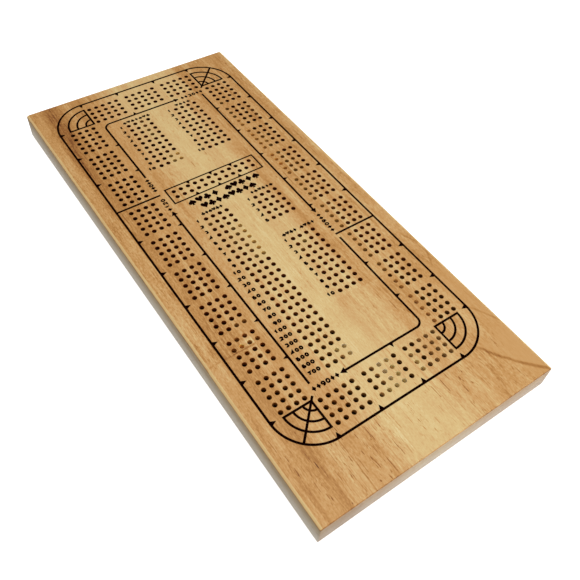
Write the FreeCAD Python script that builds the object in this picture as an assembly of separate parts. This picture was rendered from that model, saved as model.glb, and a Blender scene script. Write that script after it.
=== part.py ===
import FreeCAD, Part
import math
import os

os.makedirs("parts", exist_ok=True)
V = FreeCAD.Vector

# ---------------------------------------------------------------------------
# Driving dimensions, millimetres.  Origin: middle of the footprint at the
# level of the feet.  +X to the right, +Y to the far end, +Z up.
# ---------------------------------------------------------------------------
BOARD_L = 408.0            # along Y, 16 1/16 in
BOARD_W = 186.0            # along X, 7 5/16 in
BOARD_T = 20.0             # planed 13/16 in stock
FOOT_H = 3.0               # the underside stands this high
Z0 = FOOT_H                # underside
Z1 = FOOT_H + BOARD_T      # playing surface
TOP_EASE = 1.9             # round-over of the two long top arrises
BOTTOM_EASE = 1.0          # round-over of the two long bottom arrises
END_EASE = 0.8             # every edge of the two sawn ends

# glue lines between the five strips, all clear of every hole
GLUE_X = [-56.4, -18.7, 18.6, 56.4]

# finger-jointed end joint in two strips
FINGER_Y = -85.4           # line on the face, between two rows of holes
FINGER_LEN = 5.0
FINGER_N = 5               # fingers in the thickness
FINGER_FLAT = 0.4          # blunt tip

# peg holes
HOLE_R = 1.6               # 1/8 in drill
HOLE_DEPTH = 8.5           # straight wall below the surface
HOLE_EASE = 0.2            # countersink left by sanding
DRILL_HALF_ANGLE = 59.0

# the race: four tracks up each long side, five-hole groups
TRACK_X = [53.47, 59.36, 65.25, 71.14]
GROUP_Y = [161.22, 127.65, 93.98, 59.02, 25.28, -8.57, -42.31, -76.28, -110.06]
GROUP_PITCH = 6.073
# turns across both ends
TURN_X0 = [-46.20, -12.19, 21.82]
TURN_PITCH = 6.093
TURN_FAR_Y = [185.10, 179.15, 173.21, 167.26]
TURN_NEAR_Y = [-140.60, -146.54, -152.49, -158.43]
# counting blocks: x of first column, y of first row, columns, rows
BLOCKS = [(-27.79, 149.36, 4, 10),
          (15.95, 149.20, 4, 10),
          (-27.65, 25.72, 4, 25),
          (15.56, 25.64, 4, 5),
          (15.54, -24.19, 4, 10)]
BLOCK_PX, BLOCK_PY = 5.897, 6.226
# parking box
PARK_X0, PARK_Y0, PARK_PX, PARK_PY = -33.86, 63.01, 6.125, 6.137

# peg pocket routed in the underside
POCKET_CY = -185.0
POCKET_L, POCKET_W, POCKET_D, POCKET_R = 102.0, 20.0, 11.5, 6.35

# cover plate and its two screws
COVER_T = 0.8
COVER_GAP = 0.1            # wood to plate, and plate to screw head
COVER_HALF_W = 12.5
COVER_HALF_BODY = 54.0     # full width reaches to here each way
SCREW_X = 61.5             # pivot at -SCREW_X, keeper at +SCREW_X
COVER_EYE_R = 8.5          # rounded ends about each screw
SHANK_R = 1.75
PILOT_R = 1.45
SHANK_LEN = 11.0           # into the wood
PIVOT_CLEAR = 0.08
KEEPER_CLEAR = 0.30
HEAD_R, HEAD_H = 3.9, 1.5

# feet
FOOT_X, FOOT_Y = 81.0, 192.0
FOOT_R_TOP, FOOT_R_BOTTOM = 5.0, 4.4

# pegs
PEG_L = 30.0
PEG_HEAD_R = 2.2


# ---------------------------------------------------------------------------
def save(shape, name):
    if isinstance(shape, Part.Compound) and len(shape.Solids) == 1:
        shape = shape.Solids[0]
    if len(shape.Solids) != 1 or not shape.isValid():
        raise RuntimeError("bad shape %s: %d solids" % (name, len(shape.Solids)))
    shape.exportStep("parts/%s.step" % name)
    bb = shape.BoundBox
    print("%-26s vol %10.1f  x %7.2f %7.2f  y %8.2f %8.2f  z %6.2f %6.2f" % (
        name, shape.Volume, bb.XMin, bb.XMax, bb.YMin, bb.YMax, bb.ZMin, bb.ZMax))


def box(x0, x1, y0, y1, z0, z1):
    return Part.makeBox(x1 - x0, y1 - y0, z1 - z0, V(x0, y0, z0))


def poly_face(points):
    return Part.Face(Part.makePolygon(points + [points[0]]))


def revolve(profile, base, axis, angle=360.0):
    return poly_face(profile).revolve(base, axis, angle)


def rounded_rect(cx, cy, length, width, r, z):
    hx, hy = length / 2.0 - r, width / 2.0 - r
    k = r * math.sqrt(0.5)
    corners = [(1, -1), (1, 1), (-1, 1), (-1, -1)]
    edges, pts = [], []
    for i, (sx, sy) in enumerate(corners):
        c = V(cx + sx * hx, cy + sy * hy, z)
        a0 = -90.0 + 90.0 * i
        p = [V(c.x + r * math.cos(math.radians(a)), c.y + r * math.sin(math.radians(a)), z)
             for a in (a0, a0 + 45.0, a0 + 90.0)]
        pts.append(p)
    for i in range(4):
        a, b, c = pts[i]
        edges.append(Part.Arc(a, b, c).toShape())
        edges.append(Part.LineSegment(c, pts[(i + 1) % 4][0]).toShape())
    return Part.Face(Part.Wire(edges))


# ---------------------------------------------------------------------------
# hole list
# ---------------------------------------------------------------------------
holes = []
for gy in GROUP_Y:
    for k in range(5):
        for x in TRACK_X:
            holes.append((-x, gy - k * GROUP_PITCH))
            holes.append((x, gy - k * GROUP_PITCH))
for gx in TURN_X0:
    for k in range(5):
        for y in TURN_FAR_Y + TURN_NEAR_Y:
            holes.append((gx + k * TURN_PITCH, y))
for bx, by, nc, nr in BLOCKS:
    for i in range(nc):
        for j in range(nr):
            holes.append((bx + i * BLOCK_PX, by - j * BLOCK_PY))
for i in range(12):
    for j in range(2):
        holes.append((PARK_X0 + i * PARK_PX, PARK_Y0 - j * PARK_PY))
print("holes", len(holes))

cone_h = HOLE_R / math.tan(math.radians(DRILL_HALF_ANGLE))
hole_tool = revolve([V(0, 0, 1.0), V(HOLE_R + HOLE_EASE + 1.0, 0, 1.0),
                     V(HOLE_R + HOLE_EASE, 0, 0.0), V(HOLE_R, 0, -HOLE_EASE),
                     V(HOLE_R, 0, -HOLE_DEPTH), V(0, 0, -HOLE_DEPTH - cone_h)],
                    V(0, 0, 0), V(0, 0, 1))


def hole_tools(x0, x1, y0, y1):
    tools = []
    for hx, hy in holes:
        if x0 - HOLE_R < hx < x1 + HOLE_R and y0 - HOLE_R < hy < y1 + HOLE_R:
            t = hole_tool.copy()
            t.translate(V(hx, hy, Z1))
            tools.append(t)
    return tools


# ---------------------------------------------------------------------------
# the slab, then its strips
# ---------------------------------------------------------------------------
def slab_section(y):
    # cross-section with the long arrises rounded over
    hw, rt, rb = BOARD_W / 2.0, TOP_EASE, BOTTOM_EASE
    k = math.sqrt(0.5)
    edges = []
    arcs = []
    for sx, r, zc, up in ((1, rb, Z0 + rb, -1), (1, rt, Z1 - rt, 1), (-1, rt, Z1 - rt, 1), (-1, rb, Z0 + rb, -1)):
        cx = sx * (hw - r)
        side = V(sx * hw, y, zc)
        mid = V(cx + sx * r * k, y, zc + up * r * k)
        flat = V(cx, y, zc + up * r)
        # the loop runs up the +X side, over the top and down the -X side
        run = [flat, mid, side] if (sx == 1) == (up == -1) else [side, mid, flat]
        arcs.append(run)
    for i in range(4):
        edges.append(Part.Arc(*arcs[i]).toShape())
        edges.append(Part.LineSegment(arcs[i][2], arcs[(i + 1) % 4][0]).toShape())
    return Part.Face(Part.Wire(edges))


slab = slab_section(-BOARD_L / 2).extrude(V(0, BOARD_L, 0))
ends = [e for e in slab.Edges if abs(e.BoundBox.YMin - e.BoundBox.YMax) < 1e-5]
slab = slab.makeFillet(END_EASE, ends)

pocket = rounded_rect(0, POCKET_CY, POCKET_L, POCKET_W, POCKET_R, Z0 - 1.0).extrude(V(0, 0, POCKET_D + 1.0))
slab = slab.cut(pocket)
for sx in (-1, 1):
    pilot = Part.makeCylinder(PILOT_R, SHANK_LEN + 1.0, V(sx * SCREW_X, POCKET_CY, Z0 - 0.5), V(0, 0, 1))
    slab = slab.cut(pilot)


def finger_side(far):
    # closed region on one side of the zigzag line, a prism across X
    step = BOARD_T / (2.0 * FINGER_N)
    pts = [(FINGER_Y, Z0 - 5.0)]
    for i in range(2 * FINGER_N + 1):
        z = Z0 + i * step
        y = FINGER_Y if i % 2 == 0 else FINGER_Y - FINGER_LEN
        lo = z - FINGER_FLAT / 2.0
        hi = z + FINGER_FLAT / 2.0
        if i == 0:
            pts.append((y, hi))
        elif i == 2 * FINGER_N:
            pts.append((y, lo))
        else:
            pts += [(y, lo), (y, hi)]
    pts.append((FINGER_Y, Z1 + 5.0))
    end = 300.0 if far else -300.0
    pts += [(end, Z1 + 5.0), (end, Z0 - 5.0)]
    face = poly_face([V(-120, y, z) for y, z in pts])
    return face.extrude(V(240, 0, 0))


edges_x = [-BOARD_W / 2 - 5.0] + GLUE_X + [BOARD_W / 2 + 5.0]
names = ["stave_left_outer", "stave_left_inner", "stave_centre", "stave_right_inner", "stave_right_outer"]
split = {"stave_left_outer", "stave_right_inner"}
far_side, near_side = finger_side(True), finger_side(False)
for i, name in enumerate(names):
    xa, xb = edges_x[i], edges_x[i + 1]
    strip = slab.common(box(xa, xb, -300, 300, Z0 - 10, Z1 + 10))
    if name in split:
        for side, part, ya, yb in (("far", far_side, FINGER_Y - FINGER_LEN, 300.0),
                                   ("near", near_side, -300.0, FINGER_Y)):
            piece = strip.common(part)
            tools = hole_tools(xa, xb, ya, yb)
            piece = piece.cut(Part.makeCompound(tools))
            save(piece, "%s_%s" % (name, side))
    else:
        save(strip.cut(Part.makeCompound(hole_tools(xa, xb, -300, 300))), name)

# ---------------------------------------------------------------------------
# cover plate: a long plate with an eye about each screw, a running hole at
# the pivot and a hook slot at the keeper, cut on an arc about the pivot
# ---------------------------------------------------------------------------
zc1 = Z0 - COVER_GAP
zc0 = zc1 - COVER_T
body = rounded_rect(0, POCKET_CY, 2 * COVER_HALF_BODY, 2 * COVER_HALF_W, 4.0, zc0).extrude(V(0, 0, COVER_T))
cover = body
for sx in (-1, 1):
    eye = Part.makeCylinder(COVER_EYE_R, COVER_T, V(sx * SCREW_X, POCKET_CY, zc0), V(0, 0, 1))
    # straight flanks from the eye to the full-width body
    xb = sx * (COVER_HALF_BODY - 4.0)
    d = abs(SCREW_X - (COVER_HALF_BODY - 4.0))
    a = math.asin((COVER_HALF_W - COVER_EYE_R) / d)
    tx = sx * SCREW_X + sx * COVER_EYE_R * math.sin(a)
    ty = COVER_EYE_R * math.cos(a)
    bx = xb + sx * COVER_HALF_W * math.sin(a) * 0.0
    web = poly_face([V(tx, POCKET_CY - ty, zc0), V(tx, POCKET_CY + ty, zc0),
                     V(bx, POCKET_CY + COVER_HALF_W, zc0), V(bx, POCKET_CY - COVER_HALF_W, zc0)]
                    ).extrude(V(0, 0, COVER_T))
    cover = cover.fuse(web).fuse(eye)
cover = cover.removeSplitter()
pivot = V(-SCREW_X, POCKET_CY, 0)
cover = cover.cut(Part.makeCylinder(SHANK_R + PIVOT_CLEAR, 10, V(pivot.x, pivot.y, zc0 - 5), V(0, 0, 1)))
slot_r = SHANK_R + KEEPER_CLEAR
reach = 2 * SCREW_X
slot = Part.makeCylinder(slot_r, 10, V(SCREW_X, POCKET_CY, zc0 - 5), V(0, 0, 1))
ring = Part.makeCylinder(reach + slot_r, 10, V(pivot.x, pivot.y, zc0 - 5), V(0, 0, 1), 20)
ring = ring.cut(Part.makeCylinder(reach - slot_r, 10, V(pivot.x, pivot.y, zc0 - 5), V(0, 0, 1)))
cover = cover.cut(slot.fuse(ring))
# three pressed finger ribs near the keeper end
RIB_H = 0.5
for k in range(3):
    rib = rounded_rect(38.0 + 3.0 * k, POCKET_CY, 1.3, 12.0, 0.6, zc0 - RIB_H).extrude(V(0, 0, RIB_H + 0.2))
    cover = cover.fuse(rib)
cover = cover.removeSplitter()
save(cover, "pocket_cover")


# ---------------------------------------------------------------------------
# wood screws: pan head, plain shank, gimlet point, cross recess
# ---------------------------------------------------------------------------
def wood_screw(x):
    zh = zc0 - COVER_GAP          # underside of the head faces up
    n = 8
    prof = [V(0, 0, zh - HEAD_H)]
    # domed head
    rim = 0.55
    for i in range(n + 1):
        t = i / float(n)
        r = HEAD_R * math.sin(t * math.pi / 2)
        z = zh - rim - (HEAD_H - rim) * math.cos(t * math.pi / 2)
        if i:
            prof.append(V(r, 0, z))
    prof += [V(HEAD_R, 0, zh), V(SHANK_R, 0, zh), V(SHANK_R, 0, Z0 + SHANK_LEN - 2.6), V(0, 0, Z0 + SHANK_LEN - 0.2)]
    s = revolve(prof, V(0, 0, 0), V(0, 0, 1))
    depth = 0.95
    arm, wid = 2.1, 0.45
    for a in (0, 90):
        b = box(-arm, arm, -wid, wid, zh - HEAD_H - 0.5, zh - HEAD_H + depth)
        b.rotate(V(0, 0, 0), V(0, 0, 1), a + 20)
        s = s.cut(b)
    s.translate(V(x, POCKET_CY, 0))
    return s


save(wood_screw(-SCREW_X), "pivot_screw")
save(wood_screw(SCREW_X), "keeper_screw")

# ---------------------------------------------------------------------------
# feet: tapered rubber bumpers
# ---------------------------------------------------------------------------
for fy, yname in ((-1, "near"), (1, "far")):
    for fx, xname in ((-1, "left"), (1, "right")):
        f = Part.makeCone(FOOT_R_BOTTOM, FOOT_R_TOP, FOOT_H)
        low = [e for e in f.Edges if abs(e.BoundBox.ZMax) < 1e-6 and e.Length > 10]
        f = f.makeFillet(0.6, low)
        f.translate(V(fx * FOOT_X, fy * FOOT_Y, 0))
        save(f, "foot_%s_%s" % (yname, xname))

# ---------------------------------------------------------------------------
# pegs: turned, tapered shank, waisted head with a domed end
# ---------------------------------------------------------------------------


def peg():
    # along +X from the tip, radius outwards
    pr = [(0.0, 0.0), (0.0, 0.75), (0.18, 1.02), (0.55, 1.22), (1.0, 1.30), (18.6, 1.56), (18.9, 1.72),
          (19.3, 1.98), (19.8, 2.08), (20.3, 1.98), (20.7, 1.74), (21.3, 1.56), (22.4, 1.52),
          (23.6, 1.62), (24.9, 1.84), (26.2, 2.08), (27.2, 2.19), (27.9, 2.20), (28.6, 2.10),
          (29.2, 1.82), (29.65, 1.34), (29.9, 0.75), (30.0, 0.0)]
    return revolve([V(x, 0, r) for x, r in pr], V(0, 0, 0), V(1, 0, 0))


peg_solid = peg()
row_y = [POCKET_CY - POCKET_W / 2 + 0.2 + PEG_HEAD_R, POCKET_CY - POCKET_W / 2 + 0.2 + PEG_HEAD_R + 2 * PEG_HEAD_R + 0.1]
row_z = [Z0 + 0.05 + PEG_HEAD_R, Z0 + 0.05 + PEG_HEAD_R + 2 * PEG_HEAD_R + 0.1]
colours = ["red", "blue", "green", "natural"]
slots_x = [-30.7, 0.0, 30.7]
for k in range(3):
    for c, colour in enumerate(colours):
        j = (c + k) % 4
        y = row_y[j % 2]
        z = row_z[j // 2]
        p = peg_solid.copy()
        if (c + k + j // 2) % 2:
            p.rotate(V(0, 0, 0), V(0, 0, 1), 180)
            p.translate(V(PEG_L, 0, 0))
        p.translate(V(slots_x[k] - PEG_L / 2, y, z))
        save(p, "peg_%s_%d" % (colour, k + 1))
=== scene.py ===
import math

import bpy
from mathutils import Matrix, Vector
from mathutils.geometry import delaunay_2d_cdt


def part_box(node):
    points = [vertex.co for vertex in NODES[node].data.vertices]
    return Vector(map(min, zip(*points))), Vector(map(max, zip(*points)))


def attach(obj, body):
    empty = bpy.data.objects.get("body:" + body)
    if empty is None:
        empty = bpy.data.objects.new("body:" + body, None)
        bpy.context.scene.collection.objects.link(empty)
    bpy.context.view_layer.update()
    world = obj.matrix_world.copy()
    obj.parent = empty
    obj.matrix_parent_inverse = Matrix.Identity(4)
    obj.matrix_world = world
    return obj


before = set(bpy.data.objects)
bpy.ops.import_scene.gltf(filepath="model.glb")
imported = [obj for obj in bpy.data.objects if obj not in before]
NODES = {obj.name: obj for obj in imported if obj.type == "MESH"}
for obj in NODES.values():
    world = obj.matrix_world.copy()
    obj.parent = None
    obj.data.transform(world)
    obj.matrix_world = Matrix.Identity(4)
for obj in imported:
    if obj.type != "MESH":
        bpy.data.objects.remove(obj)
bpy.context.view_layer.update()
MM = 0.001
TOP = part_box("stave_centre")[1].z            # playing surface
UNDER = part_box("stave_centre")[0].z          # underside
X_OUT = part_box("stave_right_outer")[1].x     # half the board's width
Y_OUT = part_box("stave_centre")[1].y          # half the board's length
POCKET_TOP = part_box("pocket_cover")[1].z + 0.0116


# ---------------------------------------------------------------------------
# small tools
# ---------------------------------------------------------------------------
def lin(r, g, b):
    """sRGB 0-255 to scene linear."""
    out = []
    for c in (r, g, b):
        c /= 255.0
        out.append(c / 12.92 if c <= 0.04045 else ((c + 0.055) / 1.055) ** 2.4)
    return (*out, 1.0)


class Graph:
    """A material's node tree, built by short calls. Sockets and plain numbers mix freely."""

    def __init__(self, name):
        self.mat = bpy.data.materials.new(name)
        self.mat.use_nodes = True
        self.nt = self.mat.node_tree
        self.nt.nodes.clear()
        self.out = self.nt.nodes.new("ShaderNodeOutputMaterial")

    def node(self, kind, **props):
        n = self.nt.nodes.new(kind)
        for k, v in props.items():
            setattr(n, k, v)
        return n

    def put(self, socket, value):
        if isinstance(value, bpy.types.NodeSocket):
            self.nt.links.new(value, socket)
        elif value is not None:
            socket.default_value = value

    def math(self, op, a, b=None, c=None, clamp=False):
        n = self.node("ShaderNodeMath", operation=op, use_clamp=clamp)
        self.put(n.inputs[0], a)
        self.put(n.inputs[1], b)
        self.put(n.inputs[2], c)
        return n.outputs[0]

    def add(self, a, b):
        return self.math("ADD", a, b)

    def sub(self, a, b):
        return self.math("SUBTRACT", a, b)

    def mul(self, a, b):
        return self.math("MULTIPLY", a, b)

    def vmath(self, op, a, b=None):
        n = self.node("ShaderNodeVectorMath", operation=op)
        self.put(n.inputs[0], a)
        if op == "SCALE":
            self.put(n.inputs["Scale"], b)
            return n.outputs[0]
        self.put(n.inputs[1], b)
        return n.outputs[1] if op in ("LENGTH", "DISTANCE", "DOT_PRODUCT") else n.outputs[0]

    def span(self, v, f0, f1, t0=0.0, t1=1.0, smooth=True):
        n = self.node("ShaderNodeMapRange", clamp=True,
                      interpolation_type="SMOOTHSTEP" if smooth else "LINEAR")
        for i, x in enumerate((v, f0, f1, t0, t1)):
            self.put(n.inputs[i], x)
        return n.outputs[0]

    def mixf(self, f, a, b):
        n = self.node("ShaderNodeMix", data_type="FLOAT")
        self.put(n.inputs[0], f)
        self.put(n.inputs[2], a)
        self.put(n.inputs[3], b)
        return n.outputs[0]

    def mixc(self, f, a, b, blend="MIX"):
        n = self.node("ShaderNodeMix", data_type="RGBA", blend_type=blend)
        self.put(n.inputs[0], f)
        self.put(n.inputs[6], a)
        self.put(n.inputs[7], b)
        return n.outputs[2]

    def noise(self, vec, scale, offset=(0, 0, 0), detail=2.0, rough=0.5, distort=0.0):
        """Noise over vec divided by scale, a number or three, in vec's own units."""
        if not hasattr(scale, "__len__"):
            scale = (scale,) * 3
        n = self.node("ShaderNodeVectorMath", operation="MULTIPLY_ADD")
        self.put(n.inputs[0], vec)
        n.inputs[1].default_value = [1.0 / s for s in scale]
        n.inputs[2].default_value = offset
        t = self.node("ShaderNodeTexNoise")
        self.put(t.inputs["Vector"], n.outputs[0])
        t.inputs["Scale"].default_value = 1.0
        t.inputs["Detail"].default_value = detail
        t.inputs["Roughness"].default_value = rough
        t.inputs["Distortion"].default_value = distort
        return t.outputs[0]

    def ramp(self, fac, stops, interpolation="LINEAR"):
        n = self.node("ShaderNodeValToRGB")
        r = n.color_ramp
        r.interpolation = interpolation
        while len(r.elements) > 1:
            r.elements.remove(r.elements[-1])
        r.elements[0].position = stops[0][0]
        r.elements[0].color = stops[0][1]
        for p, c in stops[1:]:
            r.elements.new(p).color = c
        self.put(n.inputs[0], fac)
        return n.outputs[0]

    def side_tint(self, colour, low, upper, lower):
        """Timber greyed and darkened as painted shade and painted reflection of the white floor: (hue, saturation,
        value) at the top and the bottom of a side.
        """
        made = []
        for hue, saturation, value in (upper, lower):
            n = self.node("ShaderNodeHueSaturation")
            n.inputs["Hue"].default_value = hue
            n.inputs["Saturation"].default_value = saturation
            n.inputs["Value"].default_value = value
            self.put(n.inputs["Color"], colour)
            made.append(n.outputs[0])
        return self.mixc(low, made[0], made[1])

    def millimetres(self):
        """Object coordinates in millimetres, and their three parts."""
        t = self.node("ShaderNodeTexCoord")
        p = self.vmath("SCALE", t.outputs["Object"], 1000.0)
        s = self.node("ShaderNodeSeparateXYZ")
        self.put(s.inputs[0], p)
        return p, s.outputs[0], s.outputs[1], s.outputs[2]

    def normal_parts(self):
        n = self.node("ShaderNodeNewGeometry")
        s = self.node("ShaderNodeSeparateXYZ")
        self.put(s.inputs[0], n.outputs["Normal"])
        return s.outputs[0], s.outputs[1], s.outputs[2]

    def bump(self, height, distance, strength=1.0, normal=None):
        n = self.node("ShaderNodeBump")
        self.put(n.inputs["Height"], height)
        n.inputs["Distance"].default_value = distance
        n.inputs["Strength"].default_value = strength
        self.put(n.inputs["Normal"], normal)
        return n.outputs[0]

    def finish(self, colour, roughness, normal=None, **plain):
        p = self.node("ShaderNodeBsdfPrincipled")
        self.put(p.inputs["Base Color"], colour)
        self.put(p.inputs["Roughness"], roughness)
        self.put(p.inputs["Normal"], normal)
        for k, v in plain.items():
            self.put(p.inputs[k.replace("_", " ")], v)
        self.nt.links.new(p.outputs[0], self.out.inputs["Surface"])
        return self.mat


def dress(name, material):
    """Gives a CAD node its material."""
    mesh = NODES[name].data
    for i in range(len(mesh.materials)):
        mesh.materials[i] = material
    if not mesh.materials:
        mesh.materials.append(material)


# ---------------------------------------------------------------------------
# wood
# ---------------------------------------------------------------------------
# The tone of the timber runs from 0, dark amber, to 1, pale straw.
PALETTE = [(-0.60, (84, 42, 13)), (-0.40, (112, 62, 23)), (-0.20, (145, 90, 38)), (0.00, (168, 112, 54)),
           (0.18, (180, 126, 65)), (0.35, (194, 141, 79)), (0.47, (204, 152, 89)),
           (0.59, (211, 162, 102)), (0.71, (216, 173, 114)), (0.82, (220, 182, 123)),
           (0.96, (225, 193, 132)), (1.15, (232, 206, 148)), (1.35, (239, 218, 167))]


def tone_colour(g, tone):
    lo, hi = PALETTE[0][0], PALETTE[-1][0]
    stops = [((t - lo) / (hi - lo), lin(*c)) for t, c in PALETTE]
    return g.ramp(g.span(tone, lo, hi, smooth=False), stops)


ALONG = (-185.0, -40.0, 150.0)       # where a band's three tones are met


def wood(name, bands, seed, ring_x, ring_depth, ring_pitch, ring_tilt,
         ring_strength, glue=(), flecks=(), pale=(), clouds=(), mottle=0.34, streaks=1.0, calm=None, extra=None):
    """One stave's timber: bands of tone along it, growth rings cut by its faces,
    streaks and open pores, end grain on its ends, a painted highlight and painted shade on its arris,
    painted shade and painted reflection on its sides, and drilled holes with darker walls, painted shade and some
    painted light."""
    g = Graph(name)
    p, x, y, z = g.millimetres()
    nx, ny, nz = g.normal_parts()
    s = (seed * 17.31, seed * 7.77, seed * 3.13)

    # the grain wanders a little
    wander = g.noise(p, (26, 110, 26), s, 2.0)
    ripple = g.noise(p, (5, 30, 5), (s[1], s[2], s[0]), 3.0)
    xw = g.add(g.add(x, g.mul(g.sub(wander, 0.5), 5.0)), g.mul(g.sub(ripple, 0.5), 2.6))

    # bands of tone; the far tones are partly painted shade, a fall-off of light towards the far end
    lo, hi = bands[0][0] - 4.0, bands[-1][0] + 4.0
    u = g.span(xw, lo, hi, smooth=False)
    wob = g.mul(g.sub(g.noise(p, (9, 50, 9), (s[2], s[0], s[1]), 3.0), 0.5), 60.0)
    yw = g.add(y, wob)
    rows = [g.ramp(u, [((band[0] - lo) / (hi - lo), (band[1 + k],) * 3 + (1.0,)) for band in bands])
            for k in range(3)]
    tone = g.mixf(g.span(yw, ALONG[0], ALONG[1]), rows[0], rows[1])
    tone = g.mixf(g.span(yw, ALONG[1], ALONG[2]), tone, rows[2])

    # growth rings: cones about a pith line below the board
    dx = g.sub(xw, ring_x)
    dz = g.sub(z, ring_depth)
    radius = g.math("SQRT", g.add(g.mul(dx, dx), g.mul(dz, dz)))
    big = g.noise(p, (30, 150, 30), (s[0], s[2], s[1]), 3.0, 0.6)
    phase = g.add(g.add(g.mul(radius, 1.0 / ring_pitch), g.mul(y, ring_tilt)),
                  g.mul(big, 5.0))
    part = g.math("FRACT", phase)
    late = g.sub(g.math("POWER", part, 2.6), g.span(part, 0.93, 1.0))
    ring = g.mul(g.sub(late, 0.24), -ring_strength)

    # streaks of several widths, long in the grain
    hair = g.noise(p, (0.55, 7, 0.55), (s[2], s[1], s[2]), 2.0, 0.6)
    fine = g.noise(p, (1.0, 16, 1.0), s, 4.0, 0.68)
    middle = g.noise(p, (2.8, 60, 2.8), (s[1], s[0], s[2]), 2.0, 0.5)
    broad = g.noise(p, (6.0, 150, 6.0), (s[0], s[0], s[1]), 2.0, 0.5)
    cloud = g.noise(p, (9, 17, 9), (s[2], s[1], s[0]), 4.0, 0.62)
    speck = g.noise(p, (0.9, 2.2, 0.9), (s[0], s[2], s[2]), 3.0, 0.65)
    # where the streaks stand out and where the wood is quiet
    lively = g.span(g.noise(p, (16, 60, 16), (s[1], s[1], s[2]), 2.0), 0.36, 0.64, 0.45, 1.45)
    tone = g.add(tone, ring)
    streak = g.add(g.mul(g.sub(fine, 0.5), 0.56), g.mul(g.sub(middle, 0.5), 0.40))
    streak = g.add(streak, g.mul(g.sub(hair, 0.5), 0.44))
    streak = g.add(streak, g.mul(g.sub(broad, 0.5), 0.42))
    tone = g.add(tone, g.mul(g.mul(streak, lively), streaks))
    tone = g.add(tone, g.mul(g.sub(speck, 0.5), 0.84 * streaks))
    # soft clouds of lighter and darker timber
    for cx, cy, hx, hy, change in clouds:
        ax = g.mul(g.sub(xw, cx), 1.0 / hx)
        ay = g.mul(g.sub(yw, cy), 1.0 / hy)
        here = g.span(g.add(g.mul(ax, ax), g.mul(ay, ay)), 1.5, 0.2)
        tone = g.add(tone, g.mul(here, change))
    tone = g.add(tone, g.mul(g.sub(cloud, 0.5), mottle))
    if extra is not None:
        tone = extra(g, tone, x, y, z, nz, p)

    # open pores, short dark dashes that gather in patches
    patch = g.span(g.noise(p, (8, 30, 8), (s[0] + 9, s[1], s[2]), 2.0), 0.44, 0.66)
    near = g.span(y, -120.0, -178.0, 0.40, 1.0)
    patch = g.mul(patch, near)
    dash = g.span(g.noise(p, (0.62, 4.4, 0.62), (s[1] + 5, s[2], s[0]), 1.0), 0.62, 0.71)
    pore = g.mul(dash, g.add(g.mul(patch, 1.0), 0.22))
    gap = g.span(g.noise(p, (0.95, 8.0, 0.95), (s[2] + 3, s[0], s[1]), 1.0), 0.655, 0.74)
    pore = g.math("MAXIMUM", pore, g.mul(gap, patch))
    if calm is not None:
        # a part of the stave with closed, even grain: beyond this x, nearer than this y
        pore = g.mul(pore, g.sub(1.0, g.mul(g.mul(g.span(x, calm[0] - 5, calm[0] + 5),
                                                  g.span(y, calm[1] + 8, calm[1] - 8)), 0.85)))
    tone = g.sub(tone, g.mul(pore, 0.62))

    # single dark flecks and short checks, broken up along their length
    crumb = g.noise(p, (0.7, 2.6, 0.7), (s[1], 3.0, s[2]), 2.0)
    for fx, fy, hw, hl, strength in flecks:
        ax = g.mul(g.sub(g.add(x, g.mul(g.sub(ripple, 0.5), 2.0)), fx), 1.0 / hw)
        ay = g.mul(g.sub(y, fy), 1.0 / hl)
        d = g.add(g.add(g.mul(ax, ax), g.mul(ay, ay)), g.mul(g.sub(crumb, 0.5), 2.2))
        tone = g.sub(tone, g.mul(g.span(d, 1.2, 0.5), strength))

    # a thin dark line where the staves are glued
    for line in glue:
        d = g.math("ABSOLUTE", g.sub(x, line))
        tone = g.sub(tone, g.mul(g.span(d, 0.35, 0.05), 0.16))

    # the eased arris: a painted highlight where it leaves the face, painted shade below it, and dark across the ends
    rim = g.math("MAXIMUM", g.math("ABSOLUTE", g.mul(x, 1.0 / (X_OUT / MM))),
                 g.math("ABSOLUTE", g.mul(y, 1.0 / (Y_OUT / MM))))
    ax = g.math("ABSOLUTE", x)
    long_side = g.span(ax, X_OUT / MM - 2.1, X_OUT / MM - 1.7)
    painted_arris_shade = g.mul(g.span(nz, 0.66, 0.42), g.span(nz, 0.02, 0.16))
    wear_and_arris_light = g.noise(p, (3, 12, 3), (s[1], s[1], s[0]), 3.0)
    # painted highlight along the long arris, broken up by wear
    painted_arris_highlight = g.mul(g.mul(long_side, g.span(nz, 0.42, 0.62)), g.add(0.60, g.mul(wear_and_arris_light, 0.55)))
    tone = g.mixf(painted_arris_highlight, tone, 0.97)
    # painted shade on the outer part of the round-over
    tone = g.sub(tone, g.mul(g.mul(painted_arris_shade, long_side), 0.50))
    ends = g.mul(g.mul(g.span(nz, 0.985, 0.90), g.span(nz, 0.12, 0.45)),
                 g.mul(g.span(g.math("ABSOLUTE", ny), 0.2, 0.5), g.span(rim, 0.97, 0.985)))
    tone = g.sub(tone, g.mul(ends, g.add(0.16, g.mul(wear_and_arris_light, 0.60))))
    colour = tone_colour(g, tone)

    # the sides and the end grain: paler and greyer as painted shade and painted reflection of the white floor, darker
    # under the arris, lighter towards the bottom, and the long sides darker than the near end, with rings and dotted
    # pores on the ends
    side = g.mul(g.mul(g.span(nz, 0.50, 0.15), g.span(nz, -0.90, -0.55)),
                 g.span(rim, 0.97, 0.985))
    end = g.mul(g.span(g.math("ABSOLUTE", ny), 0.55, 0.85), g.span(rim, 0.97, 0.985))
    dots = g.span(g.noise(p, (0.42, 3, 0.42), s, 1.0), 0.52, 0.68)
    saw = g.noise(p, (6.0, 6.0, 0.55), (s[2], s[0], s[0]), 3.0, 0.6)
    endtone = g.add(g.mul(tone, 0.50), 0.34)
    endtone = g.sub(endtone, g.mul(g.mul(g.sub(late, 0.24), end), 0.20))
    endtone = g.sub(endtone, g.mul(g.mul(dots, end), 0.16))
    endtone = g.add(endtone, g.mul(g.sub(saw, 0.5), 0.30))
    timber = tone_colour(g, endtone)
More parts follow.
